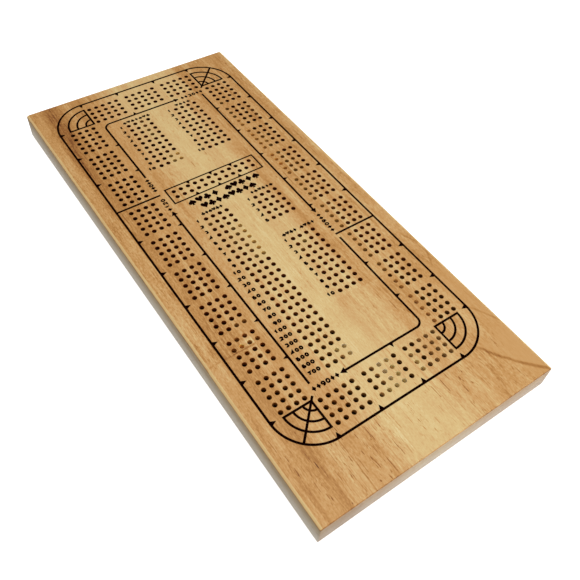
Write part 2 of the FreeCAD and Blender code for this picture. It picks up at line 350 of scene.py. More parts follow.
    # painted shade: the sides darker just under the arris and lighter towards the bottom
    low = g.span(z, TOP / MM - 2.5, UNDER / MM + 3.0)
    shaded_near_end = g.side_tint(timber, low, (0.505, 0.72, 0.86), (0.505, 0.50, 0.97))
    # painted shade: the near end darker towards its left
    shaded_near_end = g.vmath("SCALE", shaded_near_end, g.span(x, -93.0, -25.0, 0.84, 1.0))
    # painted shade: the long sides a darker, greyer copy of the same timber
    shaded_long_edge = g.side_tint(timber, low, (0.517, 0.76, 0.60), (0.525, 0.34, 1.0))
    colour = g.mixc(side, colour, g.mixc(end, shaded_long_edge, shaded_near_end))

    # drilled holes: darker drilled walls with painted shade that deepens down each hole, and painted light that makes
    # some of them paler inside and lifts those towards the near end
    inside = g.mul(g.span(z, TOP / MM - 0.03, TOP / MM - 0.10),
                   g.span(z, TOP / MM - 10.4, TOP / MM - 10.2))
    inside = g.mul(inside, g.span(rim, 0.962, 0.955))
    inside = g.mul(inside, g.span(y, -166.0, -165.0))
    # painted shade: darker further down each hole, and darker in the far holes
    depth = g.mixf(g.span(y, -60.0, 100.0),
                   g.span(z, TOP / MM - 1.8, TOP / MM - 3.4, 0.27, 0.05, smooth=False),
                   g.span(z, TOP / MM - 0.1, TOP / MM - 1.5, 0.14, 0.04, smooth=False))
    each = g.noise(p, (5.6, 5.6, 40), (s[0], 4.0, s[2]), 0.0)
    # painted light: some holes paler inside
    light = g.mul(g.span(each, 0.62, 0.74), 0.10)
    for xa, xb, ya, yb, strength in pale:
        here = g.mul(g.mul(g.span(x, xa - 0.3, xa + 0.3), g.span(x, xb + 0.3, xb - 0.3)),
                     g.mul(g.span(y, ya - 0.3, ya + 0.3), g.span(y, yb + 0.3, yb - 0.3)))
        light = g.math("MAXIMUM", light, g.mul(g.mul(here, g.span(each, 0.25, 0.6, 0.82, 1.08)), strength))
    # painted light: holes brighter towards the near end
    hole_light_gain = g.mul(g.span(y, -20.0, -130.0), g.span(x, -60.0, 60.0, 0.80, -0.05))
    depth = g.mul(g.add(depth, light), g.add(hole_light_gain, g.span(y, 40.0, 170.0, 1.0, 0.90)))
    dark = g.vmath("SCALE", colour, depth)
    # wall colour of the painted shade, deeper and redder towards the far end
    walls = g.mixc(g.span(y, -130.0, -60.0), (0.96, 0.60, 0.29, 1.0), (0.87, 0.28, 0.09, 1.0))
    walls = g.mixc(g.span(y, 0.0, 120.0), walls, (0.84, 0.20, 0.06, 1.0))
    bright = g.mixc(g.span(y, -130.0, -70.0), (1.08, 1.10, 1.04, 1.0), (0.92, 0.84, 0.58, 1.0))
    tint = g.mixc(g.span(light, 0.10, 0.50), walls, bright)
    burnt_wall_shade_and_light = g.vmath("MINIMUM", g.mixc(1.0, dark, tint, "MULTIPLY"), (0.84, 0.67, 0.42))
    colour = g.mixc(inside, colour, burnt_wall_shade_and_light)

    # the routed pocket is bare wood
    bare = g.mul(g.span(z, POCKET_TOP / MM + 0.1, POCKET_TOP / MM - 0.02),
                 g.span(g.math("ABSOLUTE", g.add(y, 185.0)), 10.3, 10.1))
    bare = g.mul(bare, g.span(g.math("ABSOLUTE", x), 51.4, 51.1))
    bare = g.mul(bare, g.span(z, UNDER / MM + 0.02, UNDER / MM + 0.06))
    colour = g.mixc(g.mul(bare, 0.45), colour, lin(226, 204, 160))

    sheen = g.noise(p, (9, 40, 9), (s[2], s[2], s[0]), 3.0)
    rough = g.add(0.38, g.mul(sheen, 0.16))
    rough = g.add(rough, g.mul(pore, 0.20))
    rough = g.mixf(g.math("MAXIMUM", g.mul(side, 0.6), g.math("MAXIMUM", inside, bare)), rough, 0.72)
    height = g.sub(g.mul(fine, 0.55), g.mul(pore, 1.0))
    height = g.add(height, g.mul(g.noise(p, (2.5, 30, 2.5), s, 2.0), 0.8))
    height = g.add(height, g.mul(g.mul(saw, side), 1.2))
    normal = g.bump(height, 0.00004, 0.55)
    return g.finish(colour, rough, normal, Specular_IOR_Level=g.mixf(inside, 0.30, 0.02))


def near_corner(g, tone, x, y, z, nz, p):
    """The dark curved line of figure in the right stave's near corner, and a hooked
    one on the margin beside the track."""
    on_top = g.span(nz, 0.3, 0.7)
    waver = g.mul(g.sub(g.noise(p, (14, 14, 14), (3, 8, 2), 3.0), 0.5), 3.0)
    cx, cy, r = 175.5, -109.5, 126.0
    dx, dy = g.sub(x, cx), g.sub(y, cy)
    d = g.add(g.sub(g.math("SQRT", g.add(g.mul(dx, dx), g.mul(dy, dy))), r), waver)
    gate = g.mul(g.span(y, -158.0, -170.0), on_top)
    line = g.mul(g.span(g.math("ABSOLUTE", d), 1.7, 0.3), gate)
    margin = g.mul(g.mul(g.span(x, 74.0, 82.0), g.span(y, -92.0, -104.0)), on_top)
    tone = g.mixf(g.mul(margin, 0.60), tone, 0.53)
    quiet = g.mul(g.span(d, 0.5, -2.5), gate)
    tone = g.mixf(g.mul(quiet, 0.65), tone, 0.60)
    tone = g.sub(tone, g.mul(line, 0.42))
    # a fainter line above it
    f = g.add(g.add(g.mul(g.sub(x, 81.4), 0.886), g.mul(g.add(y, 139.0), 0.463)), waver)
    gate = g.mul(g.mul(g.span(y, -128.0, -138.0), g.span(y, -168.0, -158.0)), on_top)
    tone = g.sub(tone, g.mul(g.mul(g.span(g.math("ABSOLUTE", f), 1.3, 0.2), gate), 0.24))
    # the hook: two lines that meet at x 92, y -80
    arm = g.math("ABSOLUTE", g.add(y, 80.0))
    e = g.add(g.sub(g.sub(X_OUT / MM, x), g.mul(arm, 0.42)), g.mul(waver, 0.5))
    gate = g.mul(g.mul(g.span(x, 82.5, 85.0), g.span(arm, 22.0, 12.0)), on_top)
    tone = g.sub(tone, g.mul(g.mul(g.span(g.math("ABSOLUTE", e), 1.5, 0.2), gate), 0.30))
    return g.sub(tone, g.mul(g.mul(g.span(e, 0.5, -3.0), gate), 0.14))


def near_line(g, tone, x, y, z, nz, p):
    """A crisp dark line of figure across the near margin of the left inner stave."""
    on_top = g.span(nz, 0.3, 0.7)
    waver = g.mul(g.sub(g.noise(p, (3, 16, 3), (6, 1, 2), 2.0), 0.5), 1.4)
    d = g.add(g.add(x, waver), g.add(52.9, g.mul(g.add(y, 169.0), -0.012)))
    gate = g.mul(g.span(y, -150.0, -164.0), on_top)
    tone = g.sub(tone, g.mul(g.mul(g.span(g.math("ABSOLUTE", d), 0.75, 0.1), gate), 0.42))
    e = g.math("ABSOLUTE", g.add(g.add(x, waver), 36.0))
    return g.sub(tone, g.mul(g.mul(g.span(e, 0.9, 0.1), gate), 0.22))


def left_joint(g, tone, x, y, z, nz, p):
    """The glued end joint in the left stave, an uneven line with a pale scar above it."""
    on_top = g.span(nz, 0.3, 0.7)
    waver = g.mul(g.sub(g.noise(p, (4, 4, 4), (5, 1, 9), 3.0), 0.5), 2.6)
    away = g.math("ABSOLUTE", g.add(g.add(y, 85.0), waver))
    line = g.mul(g.span(away, 1.0, 0.15), g.span(x, -79.0, -72.0, 0.35, 1.0))
    tone = g.sub(tone, g.mul(g.mul(line, on_top), 0.34))
    scar = g.mul(g.span(g.math("ABSOLUTE", g.add(y, 81.5)), 3.6, 1.2), g.span(x, -69.0, -60.0))
    return g.add(tone, g.mul(g.mul(scar, on_top), 0.34))


def right_joint(g, tone, x, y, z, nz, p):
    """The end joint in the right inner stave: darker timber on the near side of it."""
    on_top = g.span(nz, 0.3, 0.7)
    waver = g.mul(g.sub(g.noise(p, (5, 3, 5), (2, 6, 4), 3.0), 0.5), 3.0)
    away = g.math("ABSOLUTE", g.add(g.add(y, 85.4), waver))
    tone = g.sub(tone, g.mul(g.mul(g.span(away, 0.9, 0.1), on_top), 0.05))
    tone = g.add(tone, g.mul(g.mul(g.span(y, 158.0, 172.0), g.span(g.math("ABSOLUTE", g.sub(x, 35.0)), 8.0, 3.0)),
                             0.22))
    amber = g.mul(g.span(x, 33.0, 42.0), g.mul(g.span(y, -88.0, -94.0), g.span(y, -134.0, -118.0)))
    return g.sub(tone, g.mul(g.mul(amber, on_top), 0.16))


def centre_break(g, tone, x, y, z, nz, p):
    """A change of tone in the centre stave, level with the joints beside it."""
    on_top = g.span(nz, 0.3, 0.7)
    waver = g.mul(g.sub(g.noise(p, (5, 3, 5), (7, 2, 4), 3.0), 0.5), 3.0)
    below = g.mul(g.span(g.add(y, waver), -84.5, -86.0), g.span(y, -150.0, -112.0))
    return g.sub(tone, g.mul(g.mul(g.mul(below, g.span(x, 2.0, 10.0)), on_top), 0.13))


# Each band: x in mm, then its tone near, half way and far along the board; the far tones are partly painted shade,
# darker where the light falls off.
# pale: boxes in which painted light is put inside the drilled holes. clouds: x, y, half sizes, change.
LEFT_BANDS = [(-91, .52, .56, .46), (-85, .52, .56, .44), (-79, .42, .32, .14), (-72, .33, .35, .14),
              (-66, .44, .44, .28), (-62.6, .54, .60, .42), (-61.6, .68, .67, .50), (-57, .66, .55, .48)]
STAVES = {
    "stave_left_outer_near": dict(
        bands=LEFT_BANDS,
        seed=3, ring_x=-64, ring_depth=-34, ring_pitch=3.4, ring_tilt=0.012, ring_strength=0.12,
        glue=(-56.4,), extra=left_joint, streaks=1.12, clouds=[(-82, -94, 8, 7, .07)],
        pale=[(-68, -62, -91, -86, .30)],
        flecks=[(-84.6, -170.5, .30, 3.4, .62), (-84.9, -160.5, .28, 2.6, .50), (-74.4, -167, .20, 4, .45),
                (-73.0, -173, .22, 4, .60), (-71.6, -179, .22, 4, .55), (-78.5, -191, .32, 1.8, .50),
                (-77.3, -193.6, .32, 1.5, .50), (-79.2, -195.6, .30, 1.2, .40), (-69.3, -201.6, .5, .8, .70),
                (-66, -186, .28, 6, .40), (-59, -188, .30, 5, .45), (-80, -183, .28, 5, .40),
                (-62.4, -178, .28, 8, .40), (-76, -186, .26, 3, .35), (-87.5, -150, .3, 5, .4)]),
    "stave_left_outer_far": dict(
        bands=LEFT_BANDS,
        seed=5, ring_x=-70, ring_depth=-46, ring_pitch=3.0, ring_tilt=0.010, ring_strength=0.12,
        glue=(-56.4,), extra=left_joint, streaks=1.38, clouds=[(-79, -76, 8, 9, -.14)],
        pale=[(-68, -62, -85.4, -80, 1.15), (-74, -56.4, -85.4, -80, .35), (-68, -56.4, -79, -74, .32),
              (-62, -56.4, -70, -64, .36)],
        flecks=[(-77, 60, .4, 12, .36), (-78, 120, .5, 16, .34), (-66, 10, .4, 5, .32),
                (-84, -55, .4, 7, .34), (-71, 170, .4, 10, .34)]),
    "stave_left_inner": dict(
        bands=[(-56, .70, .47, .42), (-53.3, .70, .50, .43), (-52.6, .52, .50, .43), (-47, .56, .55, .46),
               (-43, .64, .58, .48), (-37, .60, .59, .52), (-31, .76, .71, .64), (-25, .90, .84, .74),
               (-20, .94, .93, .82)],
        seed=8, ring_x=-40, ring_depth=-52, ring_pitch=3.6, ring_tilt=-0.009, ring_strength=0.10,
        glue=(-56.4, -18.7), extra=near_line, streaks=1.04, clouds=[(-48, -98, 7, 20, -.11)],
        pale=[(-56.4, -50, -85, -80, .36), (-56.4, -50, -70, -64, .36), (-31, -25, 16, 22, .36),
              (-25, -19, -8, 3, .30)],
        flecks=[(-35.4, -172.5, .32, 4, .80), (-34.8, -177, .30, 2.5, .70), (-42.6, -171.3, .28, 2.4, .55),
                (-46, -181.7, .34, 2.2, .60), (-43.9, -187.2, .38, 1.5, .60), (-26.5, -189, .30, 2.6, .85),
                (-26.1, -193.5, .30, 2.4, .85), (-36, -196, .30, 6, .42), (-48.1, -200.4, .45, .8, .60),
                (-26.8, -172, .30, 5, .55), (-50.5, -188, .28, 6, .40), (-22, -196, .3, 3, .40),
                (-31, -183, .28, 3, .40), (-38.5, -184, .28, 3, .35), (-24, -181, .28, 3, .35)]),
    "stave_centre": dict(
        bands=[(-18, .95, .94, .85), (-10, .97, .96, .89), (-3, .98, .97, .95), (8, .93, .92, .90),
               (15, .90, .88, .80)],
        seed=11, ring_x=2, ring_depth=-80, ring_pitch=5.0, ring_tilt=0.006, ring_strength=0.05,
        mottle=0.38, streaks=0.78, glue=(-18.7, 18.6), extra=centre_break,
        pale=[(-4, 9, -162, -138, 1.00), (-9, -4, -162, -138, .28), (-9, -4, -162, -156, .55),
              (-15, -9, -162, -156, .30), (-13, -7, -27, 10, .90), (-18.7, -13, -27, 10, .34),
              (-13, -7, -127, -115, .80), (-18.7, -13, -120, -115, .50), (-18.7, -13, -127, -120, .30),
              (-13, -7, 90, 102, 1.10), (-18.7, -13, 90, 102, .66), (-18.7, -13, 128, 152, .38),
              (12, 18.6, -39, -34, .32)],
        flecks=[(-6, 82, .45, 4, .50), (9, 88, .4, 3, .40), (17.3, -175, .32, 5, .70), (-17, -176, .28, 7, .40),
                (5, -190, .32, 3, .40), (-3, 24, .4, 4, .32), (-9, -181, .28, 3, .35), (12, -186, .28, 3, .35)]),
    "stave_right_inner_near": dict(
        bands=[(20, .88, .88, .88), (29, .78, .76, .80), (35, .54, .50, .62), (41, .63, .60, .55),
               (48, .66, .64, .45), (53, .52, .54, .50)],
        seed=14, ring_x=38, ring_depth=-30, ring_pitch=3.6, ring_tilt=0.016, ring_strength=0.12,
        glue=(18.6, 56.4), extra=right_joint, streaks=1.0,
        clouds=[(37, -72, 8, 10, .10), (30, -112, 9, 24, .08)],
        pale=[(31, 50, -162, -138, .60), (19, 24, -162, -150, .80), (19, 24, -150, -143, .58),
              (24, 31, -162, -156, .32), (50, 56.4, -140, -85.4, .90)],
        flecks=[(25, -175, .34, 6, .70), (30.5, -170, .32, 4, .60), (36.6, -176.5, .5, 1.8, .60),
                (37.2, -179, .4, 1.2, .55), (34.9, -183, .38, 4, .60), (24, -192, .3, 4, .45),
                (38.5, -110, .45, 6, .50), (33, -119, .4, 4, .36), (44, -172, .3, 5, .42), (35, -98, .4, 4, .34),
                (28, -185, .28, 3, .40), (48, -186, .3, 4, .40)]),
    "stave_right_inner_far": dict(
        bands=[(20, .88, .90, .88), (29, .78, .77, .82), (35, .54, .44, .60), (41, .63, .58, .55),
               (48, .66, .63, .47), (53, .52, .56, .52)],
        seed=17, ring_x=30, ring_depth=-44, ring_pitch=3.2, ring_tilt=0.012, ring_strength=0.11,
        glue=(18.6, 56.4), extra=right_joint, streaks=1.12,
        clouds=[(36, 38, 5, 50, -.08), (38, -68, 8, 16, .09)],
        pale=[(50, 56.4, -85.4, -38, .64), (50, 56.4, -38, 30, .62), (50, 56.4, 30, 112, 1.14),
              (50, 56.4, 112, 140, .46), (19, 25, -33, -28, .45)],
        flecks=[(40, 60, .4, 7, .40), (36, 10, .4, 5, .40), (47, 120, .5, 14, .40), (49, 30, .45, 11, .36)]),
    "stave_right_outer": dict(
        bands=[(58, .60, .78, .48), (65, .59, .68, .43), (71, .62, .60, .48), (77, .64, .59, .45),
               (84, .57, .62, .42), (90, .48, .65, .60)],
        seed=21, ring_x=66, ring_depth=-14, ring_pitch=3.4, ring_tilt=0.020, ring_strength=0.13,
        glue=(56.4,), extra=near_corner, streaks=1.30, calm=(77, -95),
        clouds=[(78, -92, 13, 26, -.12)],
        pale=[(56.4, 62, 30, 92, .38), (56.4, 62, 73, 78, 1.00), (56.4, 62, -18, -6, .26), (62, 68, 10, 50, .34),
              (68, 74, 106, 124, .32)],
        flecks=[(59.5, 120, .8, 10, .42), (70, 118, .45, 8, .38), (74, 60, .4, 9, .32),
                (79, 175, .45, 8, .38), (60, 40, .5, 9, .34)]),
}
for stave, facts in STAVES.items():
    dress(stave, wood("wood_" + stave, **facts))


# ---------------------------------------------------------------------------
# metal, rubber, plastic, ink
# ---------------------------------------------------------------------------
def metal(name, base, rough, grain, seed, turned=False):
    """Bright zinc: brushed along the plate, or with an even fine grain on a screw head."""
    g = Graph(name)
    p, x, y, z = g.millimetres()
    o = (seed * 3.7, seed * 1.9, seed * 5.3)
    brush = g.noise(p, (grain * 22, grain, grain) if not turned else (grain, grain, grain), o, 3.0, 0.6)
    wear = g.noise(p, 9.0, o, 4.0, 0.6)
    spots = g.span(g.noise(p, 1.6, (o[2], o[0], o[1]), 3.0), 0.60, 0.72)
    colour = g.mixc(g.mul(g.sub(brush, 0.2), 0.8), base, [c * 0.72 for c in base[:3]] + [1.0])
    colour = g.mixc(g.mul(g.span(wear, 0.5, 0.75), 0.30), colour, (0.42, 0.41, 0.36, 1.0))
    colour = g.mixc(g.mul(spots, 0.14), colour, (0.30, 0.29, 0.26, 1.0))
    r = g.add(rough, g.mul(g.sub(brush, 0.5), 0.30))
    r = g.add(r, g.mul(g.span(wear, 0.5, 0.8), 0.14))
    return g.finish(colour, r, g.bump(brush, 0.00002, 0.5), Metallic=1.0, Anisotropic=0.35)


dress("pocket_cover", metal("zinc_plate", (0.66, 0.66, 0.63, 1.0), 0.30, 0.12, 1))
dress("pivot_screw", metal("zinc_screw_a", (0.60, 0.60, 0.57, 1.0), 0.24, 0.35, 2, True))
dress("keeper_screw", metal("zinc_screw_b", (0.60, 0.60, 0.57, 1.0), 0.24, 0.35, 3, True))


def rubber(name, seed):
    g = Graph(name)
    p, x, y, z = g.millimetres()
    o = (seed, seed * 2.3, seed * 0.7)
    dust = g.noise(p, 2.2, o, 4.0, 0.65)
    pit = g.noise(p, 0.35, o, 3.0, 0.6)
    colour = g.mixc(g.span(dust, 0.42, 0.75), (0.016, 0.016, 0.017, 1), (0.060, 0.058, 0.054, 1))
    rough = g.add(0.62, g.mul(dust, 0.30))
    return g.finish(colour, rough, g.bump(pit, 0.00006, 0.6), Specular_IOR_Level=0.35)


for i, foot in enumerate(("foot_near_left", "foot_near_right", "foot_far_left", "foot_far_right")):
    dress(foot, rubber("rubber_" + foot, 4.0 + i))


def plastic(name, base, deep, seed):
    """Moulded peg: slight flow lines, a scuffed sheen."""
    g = Graph(name)
    p, x, y, z = g.millimetres()
    o = (seed * 1.7, seed, seed * 2.9)
    flow = g.noise(p, (7, 1.6, 1.6), o, 3.0, 0.55)
    scuff = g.noise(p, (2.5, 0.5, 0.5), (o[1], o[2], o[0]), 4.0, 0.7)
    colour = g.mixc(g.span(flow, 0.30, 0.72), base, deep)
    rough = g.add(0.26, g.mul(g.span(scuff, 0.45, 0.75), 0.22))
    return g.finish(colour, rough, g.bump(scuff, 0.00002, 0.35), Specular_IOR_Level=0.5,
                    Coat_Weight=0.0)


PEG_COLOURS = {"red": ((0.56, 0.022, 0.018, 1), (0.36, 0.010, 0.010, 1)),
               "blue": ((0.022, 0.095, 0.46, 1), (0.010, 0.050, 0.28, 1)),
               "green": ((0.020, 0.30, 0.085, 1), (0.010, 0.17, 0.045, 1)),
               "natural": ((0.80, 0.75, 0.62, 1), (0.70, 0.63, 0.47, 1))}
for colour_name, (base, deep) in PEG_COLOURS.items():
    for i in (1, 2, 3):
        dress(f"peg_{colour_name}_{i}", plastic(f"plastic_{colour_name}_{i}", base, deep, 3.0 * i))


def printing_ink():
    g = Graph("printing_ink")
    p, x, y, z = g.millimetres()
    film = g.noise(p, (1.2, 3.5, 1.2), (1, 2, 3), 4.0, 0.6)
    thin = g.span(g.noise(p, (0.30, 2.4, 0.30), (7, 1, 4), 2.0), 0.66, 0.78)
    colour = g.mixc(g.span(film, 0.35, 0.75), (0.0042, 0.0004, 0.0002, 1), (0.0080, 0.0012, 0.0006, 1))
    colour = g.mixc(g.mul(thin, 0.35), colour, (0.040, 0.014, 0.005, 1))
    rough = g.add(0.58, g.mul(film, 0.24))
    return g.finish(colour, rough, g.bump(film, 0.00001, 0.5), Specular_IOR_Level=0.0)


INK = printing_ink()


# ---------------------------------------------------------------------------
# the print: thin closed films on the playing surface, all in millimetres
# ---------------------------------------------------------------------------
FILM_LO, FILM_HI = TOP - 0.00001, TOP + 0.00004


def area(poly):
    return sum(a[0] * b[1] - b[0] * a[1] for a, b in zip(poly, poly[1:] + poly[:1])) / 2


def union(polys):
    """The union of flat polygons, as points and triangles."""
    verts, faces = [], []
    for poly in polys:
        pts = [(float(a[0]), float(a[1])) for a in poly]
        if abs(area(pts)) < 1e-5:
            continue
        if area(pts) < 0:
            pts.reverse()
        faces.append(list(range(len(verts), len(verts) + len(pts))))
        verts += [Vector(a) for a in pts]
    vs, _, fs, _, _, origin = delaunay_2d_cdt(verts, [], faces, 1, 1e-4, True)
    tris = [list(f) for f, o in zip(fs, origin) if len(o)]
    used = sorted({i for t in tris for i in t})
    at = {v: k for k, v in enumerate(used)}
    return [(vs[i].x, vs[i].y) for i in used], [[at[i] for i in t] for t in tris]


def film(name, *groups):
    """Closed films, one from the union of each group of polygons, in one piece."""
    co, made = [], []
    for polys in groups:
        pts, tris = union(polys)
        base, n = len(co), len(pts)
        co += [(a * MM, b * MM, FILM_HI) for a, b in pts] + [(a * MM, b * MM, FILM_LO) for a, b in pts]
        sides = {(t[k], t[(k + 1) % len(t)]) for t in tris for k in range(len(t))}
        made += [[base + i for i in t] for t in tris]
        made += [[base + i + n for i in reversed(t)] for t in tris]
        made += [[base + b, base + a, base + a + n, base + b + n] for a, b in sorted(sides) if (b, a) not in sides]
    mesh = bpy.data.meshes.new(name)
    mesh.from_pydata(co, [], made)
    mesh.materials.append(INK)
    mesh.update()
    ob = bpy.data.objects.new(name, mesh)
    bpy.context.scene.collection.objects.link(ob)
    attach(ob, "board")
    return ob


def ribbon(points, width, closed=False):
    """A line of even width with mitred corners, as triangles."""
    pts = [Vector((a[0], a[1])) for a in points]
    n, half = len(pts), width / 2
    side = []
    for i in range(n):
        before = (pts[i] - pts[i - 1]).normalized() if (closed or i > 0) else None
        after = (pts[(i + 1) % n] - pts[i]).normalized() if (closed or i < n - 1) else None
        before, after = before or after, after or before
        na, nb = Vector((-before.y, before.x)), Vector((-after.y, after.x))
        m = (na + nb).normalized()
        side.append(m * (half / max(m.dot(na), 0.4)))
    out = []
    for i in range(n if closed else n - 1):
        j = (i + 1) % n
        a, b, c, d = pts[i] + side[i], pts[i] - side[i], pts[j] - side[j], pts[j] + side[j]
        out += [[a, b, c], [a, c, d]]
    return out


def arc(cx, cy, rx, a0, a1, n=24, ry=None):
    ry = rx if ry is None else ry
    return [(cx + rx * math.cos(math.radians(a0 + (a1 - a0) * k / n)),
             cy + ry * math.sin(math.radians(a0 + (a1 - a0) * k / n))) for k in range(n + 1)]


def tick(x, y, dx, dy, base=4.1, tip=4.1):
    """A solid triangle standing on a line and pointing along (dx, dy)."""
    return [(x - dy * base / 2 - dx * 0.3, y + dx * base / 2 - dy * 0.3),
            (x + dy * base / 2 - dx * 0.3, y - dx * base / 2 - dy * 0.3),
            (x + dx * tip, y + dy * tip)]


LINE = 1.64
# outer border
FL, FR, NR, NL = (-50.2, 164.6), (50.6, 164.6), (50.4, -137.0), (-50.9, -137.0)
R = 29.6
path = arc(*FL, R, 180, 90, 40) + arc(*FR, R, 90, 0, 40) + arc(*NR, R, 0, -90, 40) \
    + arc(*NL, R, -90, -180, 40)
film("print_border", ribbon(path, LINE, True)
     + [tick(v, 194.2, 0, -1) for v in (-50.0, -17.3, 17.3, 50.7)]
     + [tick(v, -166.6, 0, 1) for v in (-51.2, -18.4, 16.1, 49.8)]
     + [tick(-80.15 + v * 0.0022, v, 1, 0) for v in (165.3, 132.4, 98.4, 30.5, -3.5, -36.6, -71.0, -104.9, -137.4)]
     + [tick(80.05 + v * 0.0010, v, -1, 0) for v in (165.3, 132.4, 98.4, 64.5, 30.5, -3.5, -71.0, -104.9, -137.4)])
film("print_start_line", ribbon([(-80.0, 64.7), (-44.3, 64.7)], LINE))
film("print_halfway_line", ribbon([(44.5, -37.1), (80.1, -37.1)], LINE))

# inner line, in four runs with an arrow at the end of each


def inner_tick(x, y, dx, dy):
    return tick(x, y, dx, dy, 3.5, 3.6)


def head(x, y, dx, dy, half=2.4, length=4.3):
    return [(x - dy * half, y + dx * half), (x + dy * half, y - dx * half),
            (x + dx * length, y + dy * length)]


film("print_run_first", ribbon([(-44.8, 87.2), (-44.8, 154.8)] + arc(-39.3, 154.8, 5.5, 180, 90, 14)[1:]
                               + [(20.8, 160.3)], LINE) + [head(20.5, 160.3, 1, 0)]
     + [inner_tick(-44.8, v, -1, 0) for v in (132.5, 98.3)] + [inner_tick(-16.2, 160.3, 0, 1)])
film("print_run_second", ribbon([(45.6, 156.4), (45.3, -8.3)], LINE) + [head(45.3, -7.6, 0, -1)]
     + [inner_tick(45.3 + v * 0.0015, v, 1, 0) for v in (132.5, 98.5, 64.4, 30.9, -3.1)])
film("print_run_third", ribbon([(45.3, -41.2), (45.1, -126.8)] + arc(39.6, -126.8, 5.5, 0, -90, 14)[1:]
                               + [(-20.6, -132.3)], LINE) + [head(-20.3, -132.3, -1, 0)]
     + [inner_tick(45.2, v, 1, 0) for v in (-70.6, -104.6)] + [inner_tick(16.6, -132.3, 0, -1)])
film("print_run_last", ribbon([(-45.2, -127.9), (-44.9, 41.8)], LINE) + [head(-44.9, 41.0, 0, 1)]
     + [inner_tick(-45.0, v, -1, 0) for v in (30.5, -3.2, -36.6, -70.6, -104.4)])


# quarter fans in the four corners
def fan(name, ax, ay, a0, diagonal=None):
    a1 = a0 + 90
    ends = [(ax + 20.4 * math.cos(math.radians(a)), ay + 20.4 * math.sin(math.radians(a))) for a in (a0, a1)]
    shapes = ribbon([ends[0], (ax, ay), ends[1]] + arc(ax, ay, 20.4, a1, a0, 30)[1:-1], LINE, True)
    for r in (13.6, 6.5):
        shapes += ribbon(arc(ax, ay, r, a0, a1, 24), LINE)
    if diagonal:
        shapes += ribbon(diagonal, LINE)
    film(name, shapes)


fan("print_fan_far_left", -50.3, 166.3, 90)
fan("print_fan_far_right", 51.3, 166.3, 0, [(49.2, 164.3), (71.7, 186.7)])
fan("print_fan_near_left", -51.2, -138.1, 180, [(-48.6, -135.6), (-70.9, -158.0)])
fan("print_fan_near_right", 50.3, -138.4, 270)

# parking box
film("print_parking_box", ribbon([(-39.1, 67.6), (38.9, 67.6), (38.9, 51.2), (-39.1, 51.2)], 1.25, True)
     + [tick(v, 67.5, 0, -1, 4.0, 3.3) for v in (-19.6, 0.2, 18.3)]
     + [tick(v, 51.3, 0, 1, 4.0, 3.0) for v in (-19.4, 0.2, 18.2)])


# card-suit pips, each as polygons about its middle, one unit tall
def pip(kind, cx, cy, h, turn=0.0):
    if kind == "diamond":
        shapes = [[(0.0, 0.54), (-0.20, 0.24), (-0.42, 0.0), (-0.20, -0.24),
                   (0.0, -0.54), (0.20, -0.24), (0.42, 0.0), (0.20, 0.24)]]
    elif kind == "club":
        shapes = [arc(0.0, 0.24, 0.235, 0, 360, 28)[:-1], arc(-0.245, -0.10, 0.235, 0, 360, 28)[:-1],
                  arc(0.245, -0.10, 0.235, 0, 360, 28)[:-1], arc(0.0, 0.02, 0.12, 0, 360, 16)[:-1],
                  [(-0.05, 0.05), (-0.07, -0.25), (-0.20, -0.5), (0.20, -0.5), (0.07, -0.25), (0.05, 0.05)]]
    else:
        lobe = []
        for k in range(64):
            t = 2 * math.pi * k / 64
            hx = 16 * math.sin(t) ** 3
            hy = 13 * math.cos(t) - 5 * math.cos(2 * t) - 2 * math.cos(3 * t) - math.cos(4 * t)
            lobe.append((hx / 32.0 * 0.98, (hy + 2.6) / 29.6))
        if kind == "heart":
            shapes = [lobe]
        else:
            shapes = [[(a, -b * 0.84 + 0.08) for a, b in lobe],
                      [(-0.045, 0.0), (-0.07, -0.28), (-0.20, -0.5), (0.20, -0.5), (0.07, -0.28), (0.045, 0.0)]]
    c, s = math.cos(turn), math.sin(turn)
    return [[(cx + h * (a * c - b * s), cy + h * (a * s + b * c)) for a, b in sh] for sh in shapes]


SUITS = ("spade", "heart", "club", "diamond")


def pips(name, xs, y, h, first=0):
    return film(name, *[pip(SUITS[(k + first) % 4], v, y, h) for k, v in enumerate(xs)])


def evenly(a, b, n):
    return [a + (b - a) * k / (n - 1) for k in range(n)]


pips("print_title_pips_upper", (-27.7, -21.3, -14.8, -7.8, 3.8, 9.5, 15.8, 22.2, 28.6), 45.9, 6.3)
pips("print_title_pips_lower", evenly(-20.9, 21.0, 8), 38.3, 6.3, 1)
pips("print_heading_far_left", evenly(-29.0, -7.8, 7), 154.3, 3.3)
pips("print_heading_far_right", evenly(19.2, 30.2, 4), 153.9, 3.3, 1)
pips("print_heading_mid_left", evenly(-26.8, -11.5, 6), 31.4, 3.3, 2)
pips("print_heading_mid_right", evenly(16.2, 33.3, 6), 31.4, 3.3, 3)
pips("print_heading_near_right", evenly(11.9, 21.6, 4) + evenly(27.6, 37.4, 4), -17.7, 3.3)

